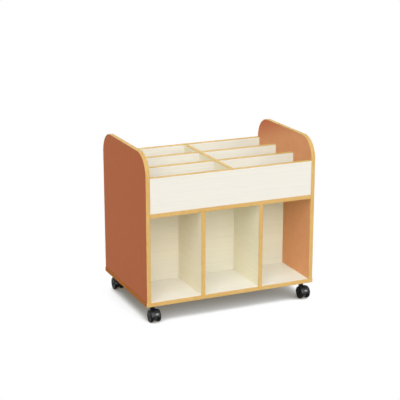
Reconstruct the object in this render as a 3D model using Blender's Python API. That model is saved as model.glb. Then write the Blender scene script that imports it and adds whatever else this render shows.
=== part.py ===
"""Double-sided book trolley: a boarded carcass with edge bands on four twin-wheel swivel castors.

Metres, +Z up. The width runs along X, the front faces -Y, and the origin lies on the floor under
the middle of the object's outline.
"""

import math

import bmesh
import bpy
from mathutils import Matrix

# Boards and edge bands
GAP = 0.0003  # left between pieces that touch
BOARD = 0.018  # thickness of every board
BAND = 0.002  # thickness of the edge bands
SIDE_SPAN = 0.780  # width over the side panels
DEPTH = 0.516  # front to back over the bands
BASE_OVERHANG = 0.002  # base past the outer face of each side panel
SIDE_HEIGHT = 0.634  # side panels above the base
TOP_RADIUS = 0.095  # rounded top corners of the side panels
LOWER_HEIGHT = 0.367  # clear height of the lower compartments
MIDDLE_BAY = 0.250  # clear width of the middle lower compartment
BOX_HEIGHT = 0.152  # upper box panels above the shelf, bands included
BOX_ROWS = 3  # rows of bins from front to back

# Screws that hold the side panels on the base
SCREW_RADIUS = 0.0035
SCREW_HEAD_RADIUS = 0.005
SCREW_HEAD_HEIGHT = 0.003
SCREW_POINT = 0.004  # length of the conical end
SCREW_LENGTH = 0.048
SCREW_SINK = 0.0005  # head below the underside of the base
SCREW_INSET = 0.078  # outer screws from the front and rear edges

# Castors
CASTOR_INSET = 0.036  # swivel axis from the outer edges of the carcass
TRAIL = 0.0215  # axle behind the swivel axis
WHEEL_RADIUS = 0.025
WHEEL_WIDTH = 0.015
WHEEL_PLAY = 0.001  # between a wheel and the web of the hood
TREAD_ROUND = 0.0050  # rounding of the tread's edges
RIM_WIDTH = 0.0020  # flat ring outside the dished face of a wheel
DISH_DEPTH = 0.0016
HUB_CAP_RADIUS = 0.0075
AXLE_COVER = 0.0035  # closed end of a wheel's bore
AXLE_RADIUS = 0.004
HUB_RADIUS = 0.010  # web round the axle
HOOD_GAP = 0.0015  # between the tread and the hood
HOOD_WALL = 0.0025
HOOD_WIDTH = 0.042
HOOD_CROWN = 0.0040  # how far the hood's edges drop below its middle
LIP_FRONT = math.radians(10)  # ends of the hood round the axle, from the trailing side over the top
LIP_REAR = math.radians(188)
HEAD_ROOM = 0.0140  # top of the hood to the underside of the base
BOSS_RADIUS = 0.0095  # top of the stem housing
BOSS_FLARE = 0.003  # how much wider the stem housing is at its foot
PIN_RADIUS = 0.004  # lower end of the stem, in the hood
PIN_LENGTH = 0.0300
SOCKET_WALL = 0.0028
FLANGE_RADIUS = 0.009
FLANGE_HEIGHT = 0.0012
THREAD_RADIUS = 0.005  # upper end of the stem, in the insert
THREAD_LENGTH = 0.0135
INSERT_WALL = 0.0018
INSERT_LENGTH = 0.0155

# Facets
CORNER_STEPS = 12
HOOD_STEPS = 16
SECTION_STEPS = 6
WHEEL_SIDES = 24
SHAFT_SIDES = 16
SCREW_SIDES = 12

# Levels and half sizes that several pieces share
half_span = SIDE_SPAN / 2
half_depth = DEPTH / 2
inner_half = half_span - BOARD
base_half = half_span + BASE_OVERHANG
board_half_depth = half_depth - BAND - GAP
hood_inner = WHEEL_RADIUS + HOOD_GAP
hood_outer = hood_inner + HOOD_CROWN + HOOD_WALL
base_bottom = WHEEL_RADIUS + hood_outer + HEAD_ROOM
base_top = base_bottom + BOARD
side_top = base_top + SIDE_HEIGHT
shelf_bottom = base_top + LOWER_HEIGHT
shelf_top = shelf_bottom + BOARD
box_top = shelf_top + BOX_HEIGHT
box_board_top = box_top - BAND - GAP
castor_reach = max(0.0, TRAIL + hood_outer * math.cos(max(LIP_FRONT, 0.0)) - CASTOR_INSET)

for old in list(bpy.data.objects):
    bpy.data.objects.remove(old, do_unlink=True)

# Colour, roughness and metallic value of each finish
finishes = {
    "terracotta": ((0.397, 0.130, 0.055), 0.45, 0.0),
    "ivory": ((0.831, 0.791, 0.672), 0.45, 0.0),
    "beech": ((0.723, 0.462, 0.178), 0.50, 0.0),
    "black_nylon": ((0.012, 0.012, 0.013), 0.40, 0.0),
    "zinc": ((0.560, 0.560, 0.570), 0.35, 1.0),
}


def new_object(name, mesh, parent=None, location=(0, 0, 0), finish=None, turn=0.0):
    made = bpy.data.objects.new(name, mesh)
    bpy.context.scene.collection.objects.link(made)
    made.parent = parent
    made.location = location
    made.rotation_euler = (0, 0, turn)
    if finish:
        colour, roughness, metallic = finishes[finish]
        look = bpy.data.materials.new(f"{name}_{finish}")
        look.use_nodes = True
        shader = look.node_tree.nodes["Principled BSDF"]
        shader.inputs["Base Color"].default_value = (*colour, 1)
        shader.inputs["Roughness"].default_value = roughness
        shader.inputs["Metallic"].default_value = metallic
        made.material_slots[0].link = "OBJECT"
        made.material_slots[0].material = look
    return made


def finished_mesh(name, shape, smooth=False):
    bmesh.ops.recalc_face_normals(shape, faces=shape.faces)
    mesh = bpy.data.meshes.new(name)
    shape.to_mesh(mesh)
    shape.free()
    mesh.materials.append(None)
    if smooth:
        mesh.shade_smooth()
        mesh.set_sharp_from_angle(angle=math.radians(35))
    return mesh


def lifted(axis, flat, along):
    """A point from its two outline coordinates and its place along the axis across them."""
    first, second = flat
    return {"X": (along, first, second), "Y": (first, along, second), "Z": (first, second, along)}[axis]


def extruded(name, outline, axis, low, high):
    """A solid with this outline, from low to high along the axis."""
    shape = bmesh.new()
    near = [shape.verts.new(lifted(axis, point, low)) for point in outline]
    far = [shape.verts.new(lifted(axis, point, high)) for point in outline]
    shape.faces.new(near)
    shape.faces.new(far)
    for i in range(len(outline)):
        shape.faces.new((near[i - 1], near[i], far[i], far[i - 1]))
    return finished_mesh(name, shape)


def rectangle(left, right, bottom, top):
    return [(left, bottom), (right, bottom), (right, top), (left, top)]


def block(name, x, y, z):
    return extruded(name, rectangle(*x, *y), "Z", *z)


def ribbon(name, outer, inner, axis, low, high, closed):
    """A strip between two paths with the same number of points."""
    shape = bmesh.new()
    rows = []
    for pair in zip(outer, inner):
        row = [shape.verts.new(lifted(axis, pair[side], along)) for side, along in
               ((0, low), (0, high), (1, high), (1, low))]
        rows.append(row)
    for i in range(0 if closed else 1, len(rows)):
        for k in range(4):
            shape.faces.new((rows[i - 1][k - 1], rows[i - 1][k], rows[i][k], rows[i][k - 1]))
    if not closed:
        shape.faces.new(rows[0])
        shape.faces.new(rows[-1])
    return finished_mesh(name, shape)


def enclosing(radius, sides):
    """Corner radius of a polygon whose flats lie on a circle of this radius."""
    return radius / math.cos(math.pi / sides)


def turned(profile, sides):
    """A solid turned round Z from (radius, height) points, with its flats across X and Y."""
    shape = bmesh.new()
    rings = []
    for radius, height in profile:
        if radius == 0:
            rings.append([shape.verts.new((0, 0, height))] * sides)
            continue
        ring = []
        for i in range(sides):
            angle = 2 * math.pi * (i + 0.5) / sides
            ring.append(shape.verts.new((radius * math.cos(angle), radius * math.sin(angle), height)))
        rings.append(ring)
    closes = profile[0][0] != 0
    for k in range(0 if closes else 1, len(rings)):
        for i in range(sides):
            corners = (rings[k - 1][i - 1], rings[k - 1][i], rings[k][i], rings[k][i - 1])
            shape.faces.new(tuple(dict.fromkeys(corners)))
    return shape


def turned_mesh(name, profile, sides):
    return finished_mesh(name, turned(profile, sides), smooth=True)


def cylinder(name, radius, low, high, sides):
    return turned_mesh(name, [(0, low), (radius, low), (radius, high), (0, high)], sides)


def cutter(name, mesh, parent=None, location=(0, 0, 0)):
    made = new_object(name, mesh, parent, location)
    made.hide_render = True
    made.display_type = "WIRE"
    return made


def combine(target, other, operation):
    change = target.modifiers.new(other.name, "BOOLEAN")
    change.operation = operation
    change.solver = "EXACT"
    change.object = other


carcass = bpy.data.objects.new("carcass", None)
bpy.context.scene.collection.objects.link(carcass)
carcass.location = (0, castor_reach / 2, 0)


def board(name, x, y, z, finish):
    return new_object(name, block(name, x, y, z), carcass, finish=finish)


# Base
base_panel = board(
    "base_panel",
    (BAND + GAP - base_half, base_half - BAND - GAP),
    (-board_half_depth, board_half_depth),
    (base_bottom, base_top),
    "ivory",
)
base_ring = ribbon(
    "base_edge_band",
    rectangle(-base_half, base_half, -half_depth, half_depth),
    rectangle(BAND - base_half, base_half - BAND, BAND - half_depth, half_depth - BAND),
    "Z", base_bottom, base_top, closed=True,
)
new_object("base_edge_band", base_ring, carcass, finish="beech")


# Side panels
def side_outline(inset):
    """From the front foot over the rounded top to the rear foot, this far inside the outer edge."""
    edge = half_depth - inset
    radius = TOP_RADIUS - inset
    centre = side_top - TOP_RADIUS
    path = [(-edge, base_top + GAP)]
    for i in range(CORNER_STEPS + 1):
        angle = math.pi / 2 * i / CORNER_STEPS
        path.append((radius - edge - radius * math.cos(angle), centre + radius * math.sin(angle)))
    return path + [(-y, z) for y, z in reversed(path)]


side_panels = {}
for side, sign in (("left", -1), ("right", 1)):
    low, high = sorted((sign * inner_half, sign * half_span))
    panel = extruded(f"side_panel_{side}", side_outline(BAND + GAP), "X", low, high)
    side_panels[sign] = new_object(panel.name, panel, carcass, finish="terracotta")
    band = ribbon(
        f"side_edge_band_{side}", side_outline(0), side_outline(BAND), "X", low, high, closed=False
    )
    new_object(band.name, band, carcass, finish="beech")

# Middle shelf
fitted_x = (GAP - inner_half, inner_half - GAP)
shelf_z = (shelf_bottom, shelf_top)
board("middle_shelf", fitted_x, (-board_half_depth, board_half_depth), shelf_z, "ivory")
board("shelf_front_band", fitted_x, (-half_depth, BAND - half_depth), shelf_z, "beech")
board("shelf_rear_band", fitted_x, (half_depth - BAND, half_depth), shelf_z, "beech")

# Upper boxes
box_z = (shelf_top + GAP, box_board_top)
band_z = (box_top - BAND, box_top)
crossing_z = (box_z[0] + box_top) / 2
notch_half = BOARD / 2 + GAP
row_pitch = (DEPTH - BOARD) / BOX_ROWS
front_y = (-half_depth, BOARD - half_depth)
rear_y = (half_depth - BOARD, half_depth)
for end, y in (("front", front_y), ("rear", rear_y)):
    board(f"box_{end}_panel", fitted_x, y, box_z, "ivory")
    board(f"box_{end}_top_band", fitted_x, y, band_z, "beech")

cross_outline = [(front_y[1] + GAP, box_z[0])]
for row in range(1, BOX_ROWS):
    middle = BOARD / 2 - half_depth + row * row_pitch
    low, high = middle - BOARD / 2, middle + BOARD / 2
    notched = [
        (fitted_x[0], box_z[0]),
        (fitted_x[1], box_z[0]),
        (fitted_x[1], box_z[1]),
        (notch_half, box_z[1]),
        (notch_half, crossing_z - GAP / 2),
        (-notch_half, crossing_z - GAP / 2),
        (-notch_half, box_z[1]),
        (fitted_x[0], box_z[1]),
    ]
    divider = extruded(f"box_long_divider_{row}", notched, "Y", low, high)
    new_object(divider.name, divider, carcass, finish="ivory")
    board(f"long_divider_{row}_band_left", (fitted_x[0], -notch_half), (low, high), band_z, "beech")
    board(f"long_divider_{row}_band_right", (notch_half, fitted_x[1]), (low, high), band_z, "beech")
    cross_outline += [
        (middle - notch_half, box_z[0]),
        (middle - notch_half, crossing_z + GAP / 2),
        (middle + notch_half, crossing_z + GAP / 2),
        (middle + notch_half, box_z[0]),
    ]
cross_outline += [
    (rear_y[0] - GAP, box_z[0]),
    (rear_y[0] - GAP, box_z[1]),
    (front_y[1] + GAP, box_z[1]),
]
cross = extruded("box_cross_divider", cross_outline, "X", -BOARD / 2, BOARD / 2)
new_object(cross.name, cross, carcass, finish="ivory")
board(
    "cross_divider_band", (-BOARD / 2, BOARD / 2), (front_y[1] + GAP, rear_y[0] - GAP), band_z, "beech"
)

# Lower compartments
lower_z = (base_top + GAP, shelf_bottom - GAP)
board("spine_panel", fitted_x, (-BOARD / 2, BOARD / 2), lower_z, "ivory")
for end, facing in (("front", -1), ("rear", 1)):
    board_y = sorted((facing * (BOARD / 2 + GAP), facing * board_half_depth))
    band_y = sorted((facing * (half_depth - BAND), facing * half_depth))
    for side, sign in (("left", -1), ("right", 1)):
        x = sorted((sign * MIDDLE_BAY / 2, sign * (MIDDLE_BAY / 2 + BOARD)))
        board(f"{end}_lower_divider_{side}", x, board_y, lower_z, "ivory")
        board(f"{end}_lower_divider_band_{side}", x, band_y, lower_z, "beech")

# Screws up through the base into the side panels
head_bottom = base_bottom + SCREW_SINK
head_top = head_bottom + SCREW_HEAD_HEIGHT
neck = head_top + SCREW_HEAD_RADIUS - SCREW_RADIUS
tip = head_bottom + SCREW_LENGTH
screw_mesh = turned_mesh(
    "base_screw",
    [
        (0, head_bottom),
        (SCREW_HEAD_RADIUS, head_bottom),
        (SCREW_HEAD_RADIUS, head_top),
        (SCREW_RADIUS, neck),
        (SCREW_RADIUS, tip - SCREW_POINT),
        (0, tip),
    ],
    SCREW_SIDES,
)
screw_hole = turned_mesh(
    "screw_hole",
    [
        (0, base_bottom - BOARD),
        (SCREW_HEAD_RADIUS + GAP, base_bottom - BOARD),
        (SCREW_HEAD_RADIUS + GAP, head_top + GAP),
        (SCREW_RADIUS + GAP, neck + GAP),
        (SCREW_RADIUS + GAP, tip + GAP),
        (0, tip + GAP),
    ],
    SCREW_SIDES,
)
for sign, side in ((-1, "left"), (1, "right")):
    for place, step in (("front", -1), ("middle", 0), ("rear", 1)):
        spot = (sign * (half_span - BOARD / 2), step * (half_depth - SCREW_INSET), 0)
        new_object(f"base_screw_{side}_{place}", screw_mesh, carcass, spot, "zinc")
        hole = cutter(f"screw_hole_{side}_{place}", screw_hole, carcass, spot)
        combine(base_panel, hole, "DIFFERENCE")
        combine(side_panels[sign], hole, "DIFFERENCE")

# Castors: sizes that their pieces share
pin_bore = enclosing(PIN_RADIUS + GAP, SHAFT_SIDES)
axle_bore = enclosing(AXLE_RADIUS + GAP, SHAFT_SIDES)
web_half = enclosing(pin_bore + SOCKET_WALL, SHAFT_SIDES)
wheel_start = web_half + WHEEL_PLAY
axle_half = wheel_start + WHEEL_WIDTH - AXLE_COVER - GAP
web_reach = hood_outer - HOOD_WALL / 2
room_radius = hood_outer - HOOD_WALL * 0.75
flange_top = base_bottom - GAP
flange_bottom = flange_top - FLANGE_HEIGHT
boss_top = flange_bottom - GAP
pin_end = flange_bottom - PIN_LENGTH
insert_inner = THREAD_RADIUS + GAP
insert_outer = insert_inner + INSERT_WALL


def arc(centre, radius, start, end, steps):
    return [
        (centre[0] + radius * math.cos(start + (end - start) * i / steps),
         centre[1] + radius * math.sin(start + (end - start) * i / steps))
        for i in range(steps + 1)
    ]


# Wheel, turned round its axle, with its inner face at the origin and its outer face towards +X
tread_edge = WHEEL_RADIUS - TREAD_ROUND
dish_edge = tread_edge - RIM_WIDTH
face = WHEEL_WIDTH
wheel_profile = [
    (0, face - AXLE_COVER),
    (axle_bore, face - AXLE_COVER),
    (axle_bore, 0),
    *arc((tread_edge, TREAD_ROUND), TREAD_ROUND, -math.pi / 2, 0, 2),
    *arc((tread_edge, face - TREAD_ROUND), TREAD_ROUND, 0, math.pi / 2, 3),
    (dish_edge, face),
    (dish_edge - DISH_DEPTH, face - DISH_DEPTH),
    (HUB_CAP_RADIUS + DISH_DEPTH, face - DISH_DEPTH),
    (HUB_CAP_RADIUS, face),
    (0, face),
]
wheel_shape = turned([(enclosing(r, WHEEL_SIDES), h) for r, h in wheel_profile], WHEEL_SIDES)
bmesh.ops.rotate(wheel_shape, verts=wheel_shape.verts, matrix=Matrix.Rotation(math.pi / 2, 3, "Y"))
wheel_mesh = finished_mesh("castor_wheel", wheel_shape, smooth=True)

axle_shape = turned(
    [(0, -axle_half), (AXLE_RADIUS, -axle_half), (AXLE_RADIUS, axle_half), (0, axle_half)], SHAFT_SIDES
)
bmesh.ops.rotate(axle_shape, verts=axle_shape.verts, matrix=Matrix.Rotation(math.pi / 2, 3, "Y"))
axle_mesh = finished_mesh("castor_axle", axle_shape, smooth=True)

stem_mesh = turned_mesh(
    "castor_stem",
    [
        (0, pin_end),
        (PIN_RADIUS, pin_end),
        (PIN_RADIUS, flange_bottom),
        (FLANGE_RADIUS, flange_bottom),
        (FLANGE_RADIUS, flange_top),
        (THREAD_RADIUS, flange_top),
        (THREAD_RADIUS, flange_top + THREAD_LENGTH),
        (0, flange_top + THREAD_LENGTH),
    ],
    SHAFT_SIDES,
)
insert_mesh = turned_mesh(
    "castor_insert",
    [
        (insert_inner, base_bottom),
        (insert_outer, base_bottom),
        (insert_outer, base_bottom + INSERT_LENGTH),
        (insert_inner, base_bottom + INSERT_LENGTH),
    ],
    SHAFT_SIDES,
)
insert_hole = cylinder(
    "insert_hole", insert_outer + GAP, base_bottom - BOARD, base_bottom + INSERT_LENGTH + GAP, SHAFT_SIDES
)


def about_axle(radius, angle):
    """Y and Z of a point round the axle, measured from the trailing side over the top."""
    return (-TRAIL - radius * math.cos(angle), WHEEL_RADIUS + radius * math.sin(angle))


def hood_shell():
    """The arched cover over both wheels: a crowned section swept round the axle."""
    places = [2 * i / SECTION_STEPS - 1 for i in range(SECTION_STEPS + 1)]
    under = [(HOOD_WIDTH / 2 * p, hood_inner + HOOD_CROWN * (1 - p * p)) for p in places]
    section = under + [(x, radius + HOOD_WALL) for x, radius in reversed(under)]
    shape = bmesh.new()
    rows = []
    for angle in hood_angles:
        rows.append([shape.verts.new((x, *about_axle(radius, angle))) for x, radius in section])
    for before, after in zip(rows, rows[1:]):
        for k in range(len(section)):
            shape.faces.new((before[k - 1], before[k], after[k], after[k - 1]))
    shape.faces.new(rows[0])
    shape.faces.new(rows[-1])
    return finished_mesh("castor_hood", shape, smooth=True)


def hood_web():
    """The plate between the wheels: a sector under the hood, with a hub round the axle."""
    rim = [about_axle(web_reach, angle) for angle in hood_angles[1:-1]]
    start, end = hood_angles[-2], hood_angles[1] + 2 * math.pi
    hub = [about_axle(HUB_RADIUS, start + (end - start) * i / HOOD_STEPS) for i in range(HOOD_STEPS + 1)]
    return extruded("hood_web", rim + hub, "X", -web_half, web_half)


# Hood: shell, web, stem housing and socket made one, then bored for the stem and the axle
hood_angles = [LIP_FRONT + (LIP_REAR - LIP_FRONT) * i / HOOD_STEPS for i in range(HOOD_STEPS + 1)]
socket_end = pin_end - GAP
hood = cutter("castor_hood", hood_shell())
web = cutter("hood_web", hood_web())
housing = cutter(
    "hood_housing",
    turned_mesh(
        "hood_housing",
        [
            (0, socket_end),
            (BOSS_RADIUS + BOSS_FLARE, socket_end),
            (BOSS_RADIUS, boss_top),
            (0, boss_top),
        ],
        SHAFT_SIDES,
    ),
)
room_shape = turned(
    [(0, -HOOD_WIDTH), (room_radius, -HOOD_WIDTH), (room_radius, HOOD_WIDTH), (0, HOOD_WIDTH)], WHEEL_SIDES
)
bmesh.ops.rotate(room_shape, verts=room_shape.verts, matrix=Matrix.Rotation(math.pi / 2, 3, "Y"))
room = cutter(
    "wheel_room", finished_mesh("wheel_room", room_shape), location=(0, -TRAIL, WHEEL_RADIUS)
)
socket = cutter(
    "hood_socket",
    cylinder("hood_socket", pin_bore + SOCKET_WALL, socket_end - SOCKET_WALL, boss_top - GAP, SHAFT_SIDES),
)
pin_hole = cutter("pin_hole", cylinder("pin_hole", pin_bore, socket_end, base_bottom, SHAFT_SIDES))
bore_shape = turned(
    [(0, -HOOD_WIDTH), (axle_bore, -HOOD_WIDTH), (axle_bore, HOOD_WIDTH), (0, HOOD_WIDTH)], SHAFT_SIDES
)
bmesh.ops.rotate(bore_shape, verts=bore_shape.verts, matrix=Matrix.Rotation(math.pi / 2, 3, "Y"))
axle_hole = cutter(
    "axle_hole", finished_mesh("axle_hole", bore_shape), location=(0, -TRAIL, WHEEL_RADIUS)
)
combine(housing, room, "DIFFERENCE")
combine(hood, web, "UNION")
combine(hood, housing, "UNION")
combine(hood, socket, "UNION")
combine(hood, pin_hole, "DIFFERENCE")
combine(hood, axle_hole, "DIFFERENCE")
bpy.context.view_layer.update()
hood_mesh = bpy.data.meshes.new_from_object(hood.evaluated_get(bpy.context.evaluated_depsgraph_get()))
for helper in (hood, web, housing, room, socket, pin_hole, axle_hole):
    bpy.data.objects.remove(helper, do_unlink=True)

# The four castors, each on an empty that stands on its swivel axis
for end, facing in (("front", -1), ("rear", 1)):
    for side, sign in (("left", -1), ("right", 1)):
        name = f"castor_{end}_{side}"
        spot = (sign * (half_span - CASTOR_INSET), facing * (half_depth - CASTOR_INSET), 0)
        new_object(f"{name}_insert", insert_mesh, carcass, spot, "zinc")
        new_object(f"{name}_stem", stem_mesh, carcass, spot, "zinc")
        combine(base_panel, cutter(f"{name}_insert_hole", insert_hole, carcass, spot), "DIFFERENCE")
        swivel = bpy.data.objects.new(f"{name}_swivel", None)
        bpy.context.scene.collection.objects.link(swivel)
        swivel.parent = carcass
        swivel.location = spot
        new_object(f"{name}_hood", hood_mesh, swivel, finish="black_nylon")
        axle_spot = (0, -TRAIL, WHEEL_RADIUS)
        new_object(f"{name}_axle", axle_mesh, swivel, axle_spot, "zinc")
        left_spot = (-wheel_start, -TRAIL, WHEEL_RADIUS)
        right_spot = (wheel_start, -TRAIL, WHEEL_RADIUS)
        new_object(f"{name}_wheel_left", wheel_mesh, swivel, left_spot, "black_nylon", turn=math.pi)
        new_object(f"{name}_wheel_right", wheel_mesh, swivel, right_spot, "black_nylon")
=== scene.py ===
import math

import bmesh
import bpy
from mathutils import Matrix, Vector


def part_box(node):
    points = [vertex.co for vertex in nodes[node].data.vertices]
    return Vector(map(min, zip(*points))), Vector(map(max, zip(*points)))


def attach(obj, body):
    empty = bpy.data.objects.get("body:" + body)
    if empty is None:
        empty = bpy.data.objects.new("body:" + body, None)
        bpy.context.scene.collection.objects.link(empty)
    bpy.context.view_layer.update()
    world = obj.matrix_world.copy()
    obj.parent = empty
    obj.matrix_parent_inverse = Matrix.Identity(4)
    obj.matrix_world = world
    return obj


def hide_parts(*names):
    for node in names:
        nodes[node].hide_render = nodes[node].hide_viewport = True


mm = 0.001
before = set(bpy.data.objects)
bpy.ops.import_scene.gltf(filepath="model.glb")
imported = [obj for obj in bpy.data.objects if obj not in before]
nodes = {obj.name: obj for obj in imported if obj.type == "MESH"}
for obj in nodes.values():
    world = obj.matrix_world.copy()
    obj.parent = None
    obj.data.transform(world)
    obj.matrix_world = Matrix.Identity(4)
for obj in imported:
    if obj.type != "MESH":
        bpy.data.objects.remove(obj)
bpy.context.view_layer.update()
scene = bpy.context.scene
print("frame loaded:", len(nodes), "nodes")


# Small helpers
def hexColour(text):  # sRGB hex to the linear colour that sockets take
    channels = [int(text[i:i + 2], 16) / 255 for i in (1, 3, 5)]
    linear = [c / 12.92 if c <= 0.04045 else ((c + 0.055) / 1.055) ** 2.4 for c in channels]
    return (*linear, 1.0)


def addNode(tree, kind, settings=None, inputs=None):  # inputs go by name, or by place where names repeat
    node = tree.nodes.new(kind)
    for name, value in (settings or {}).items():
        setattr(node, name, value)
    for key, value in (inputs or {}).items():
        if isinstance(value, bpy.types.NodeSocket):
            tree.links.new(value, node.inputs[key])
        else:
            node.inputs[key].default_value = value
    return node


def newMaterial(name):
    material = bpy.data.materials.new(name)
    material.use_nodes = True
    material.node_tree.nodes.clear()
    return material


def pieceName(node):  # side_panel_left becomes sidePanelLeft
    first, *rest = node.split("_")
    return first + "".join(word.capitalize() for word in rest)


meshSettings = {
    "mergeDistance": 0.005 * mm,  # points closer than this become one
    "thinnest": 0.001 * mm,  # edges and faces thinner than this go
    "sharpAngle": 35,  # degrees from which an edge stays sharp
}


def closeMesh(mesh, sharpAngle=meshSettings["sharpAngle"]):  # doubles merged, faces outwards and smooth
    shape = bmesh.new()
    shape.from_mesh(mesh)
    bmesh.ops.remove_doubles(shape, verts=shape.verts, dist=meshSettings["mergeDistance"])
    bmesh.ops.dissolve_degenerate(shape, edges=shape.edges, dist=meshSettings["thinnest"])
    bmesh.ops.recalc_face_normals(shape, faces=shape.faces)
    shape.to_mesh(mesh)
    shape.free()
    mesh.shade_smooth()
    mesh.set_sharp_from_angle(angle=math.radians(sharpAngle))
    return mesh


def meshFrom(shape, name):  # a bmesh as a named mesh
    mesh = bpy.data.meshes.new(name)
    shape.to_mesh(mesh)
    shape.free()
    return mesh


def placePiece(name, mesh, material, body, slot, *replaced):
    mesh.name = name
    mesh.materials.clear()
    mesh.materials.append(material)
    piece = bpy.data.objects.new(name, mesh)
    scene.collection.objects.link(piece)
    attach(piece, body)
    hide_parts(*replaced)
    return piece


def arc(centre, radius, start, end, steps):  # points on an arc, angles in degrees
    points = []
    for i in range(steps + 1):
        angle = math.radians(start + (end - start) * i / steps)
        points.append((centre[0] + radius * math.cos(angle), centre[1] + radius * math.sin(angle)))
    return points


def turnedMesh(name, profile, sides):  # (radius, height) points turned round Z
    shape = bmesh.new()
    rings = []
    for radius, height in profile:
        if radius == 0:
            rings.append([shape.verts.new((0, 0, height))] * sides)
            continue
        ring = []
        for i in range(sides):
            angle = 2 * math.pi * i / sides
            ring.append(shape.verts.new((radius * math.cos(angle), radius * math.sin(angle), height)))
        rings.append(ring)
    for lower, upper in zip(rings, rings[1:]):
        for i in range(sides):
            corners = dict.fromkeys((lower[i - 1], lower[i], upper[i], upper[i - 1]))
            shape.faces.new(tuple(corners))
    return meshFrom(shape, name)


def prismMesh(name, outline, low, high):  # (y, z) points drawn out along X
    shape = bmesh.new()
    near = [shape.verts.new((low, *point)) for point in outline]
    far = [shape.verts.new((high, *point)) for point in outline]
    shape.faces.new(near)
    shape.faces.new(far)
    for i in range(len(outline)):
        shape.faces.new((near[i - 1], near[i], far[i], far[i - 1]))
    return closeMesh(meshFrom(shape, name))


def evaluatedMesh(carrier):  # the carrier's mesh with its modifiers, as plain data; the carrier goes
    bpy.context.view_layer.update()
    evaluated = carrier.evaluated_get(bpy.context.evaluated_depsgraph_get())
    mesh = bpy.data.meshes.new_from_object(evaluated)
    bpy.data.objects.remove(carrier)
    return mesh


def newTree(name, inputs, output):  # a Geometry Nodes tree with its named sockets
    tree = bpy.data.node_groups.new(name, "GeometryNodeTree")
    for socket, kind in inputs.items():
        tree.interface.new_socket(socket, in_out="INPUT", socket_type=f"NodeSocket{kind}")
    tree.interface.new_socket(output, in_out="OUTPUT", socket_type="NodeSocketGeometry")
    return tree


def treeMesh(name, tree, paths, values):  # what a tree makes of paths of (place, radius) points
    curve = bpy.data.curves.new(name, "CURVE")
    curve.dimensions = "3D"
    for path in paths:
        spline = curve.splines.new("POLY")
        spline.points.add(len(path) - 1)
        for point, (place, radius) in zip(spline.points, path):
            point.co = (*place, 1.0)
            point.radius = radius
    carrier = bpy.data.objects.new(name, curve)
    modifier = carrier.modifiers.new(tree.name, "NODES")
    modifier.node_group = tree
    for item in tree.interface.items_tree:  # inputs are set by their identifiers
        if item.item_type == "SOCKET" and item.in_out == "INPUT" and item.name in values:
            modifier[item.identifier] = values[item.name]
    scene.collection.objects.link(carrier)
    return evaluatedMesh(carrier)


# Materials

# Melamine-faced board with a pearl press texture, terracotta outside, and inside a lighter, paler orange
# copy of the same terracotta, which is painted light on the inner faces: an even, nearly matt face whose
# highlight is broken by fine dimples, about 0.8 mm, drawn at 3 mm so that they show.
terracottaSettings = {
    "outside": ("#B26338", "#B06137"),  # light and dark of the faint clouding
    # painted light: the inner faces take a lighter copy of the same terracotta
    "inside": ("#DF9F70", "#DC9B6C"),
    "shade": "#C8744E",  # upper rear corner of the inner faces, away from the pale boards
    "shadeSlope": 3.1,  # rise of the shade over its run
    "shadeRange": (2.06, 2.42),
    "thrown": "#E6D3B4",  # what the inner faces throw on the boards beside them
    "cloud": 35 * mm,
    "cloudRange": (0.35, 0.65),  # noise levels of the darkest and the lightest tone
    "dimple": 3 * mm,
    "dimpleRange": (0.3, 0.7),
    "dimpleDepth": 0.05 * mm,
    "dimpleStrength": 0.5,
    "roughness": (0.52, 0.62),
    "specular": 0.1,
}


def makeTerracotta(name, tones, inner, s):
    material = newMaterial(name)
    tree = material.node_tree
    light, dark = s[tones]
    place = addNode(tree, "ShaderNodeTexCoord").outputs["Object"]
    cloud = addNode(
        tree, "ShaderNodeTexNoise", inputs={"Vector": place, "Scale": 1 / s["cloud"], "Detail": 4.0}
    )
    start, end = s["cloudRange"]
    tone = addNode(tree, "ShaderNodeMapRange", inputs={0: cloud.outputs[0], 1: start, 2: end})
    colour = addNode(
        tree, "ShaderNodeMix", {"data_type": "RGBA"},
        {0: tone.outputs[0], 6: hexColour(dark), 7: hexColour(light)},
    )
    if inner:
        start, end = s["shadeRange"]
        rise = addNode(
            tree, "ShaderNodeVectorMath", {"operation": "DOT_PRODUCT"},
            {0: place, 1: (0.0, 1.0, s["shadeSlope"])},
        )
        shade = addNode(
            tree, "ShaderNodeMapRange", {"interpolation_type": "SMOOTHSTEP"},
            {0: rise.outputs["Value"], 1: start, 2: end},
        )
        shaded = addNode(
            tree, "ShaderNodeMix", {"data_type": "RGBA"},
            {0: shade.outputs[0], 6: colour.outputs[2], 7: hexColour(s["shade"])},
        )
        ray = addNode(tree, "ShaderNodeLightPath")
        colour = addNode(  # a paler light on the boards, which would turn pink
            tree, "ShaderNodeMix", {"data_type": "RGBA"},
            {0: ray.outputs["Is Diffuse Ray"], 6: shaded.outputs[2], 7: hexColour(s["thrown"])},
        )
    dimple = addNode(
        tree, "ShaderNodeTexNoise", inputs={"Vector": place, "Scale": 1 / s["dimple"], "Detail": 2.0}
    )
    start, end = s["dimpleRange"]
    low, high = s["roughness"]
    rough = addNode(
        tree, "ShaderNodeMapRange", inputs={0: dimple.outputs[0], 1: start, 2: end, 3: low, 4: high}
    )
    bump = addNode(tree, "ShaderNodeBump", inputs={
        "Height": dimple.outputs[0], "Strength": s["dimpleStrength"], "Distance": s["dimpleDepth"],
    })
    shader = addNode(tree, "ShaderNodeBsdfPrincipled", inputs={
        "Base Color": colour.outputs[2],
        "Roughness": rough.outputs[0],
        "Normal": bump.outputs[0],
        "Specular IOR Level": s["specular"],
    })
    addNode(tree, "ShaderNodeOutputMaterial", inputs={"Surface": shader.outputs[0]})
    return material
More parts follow.
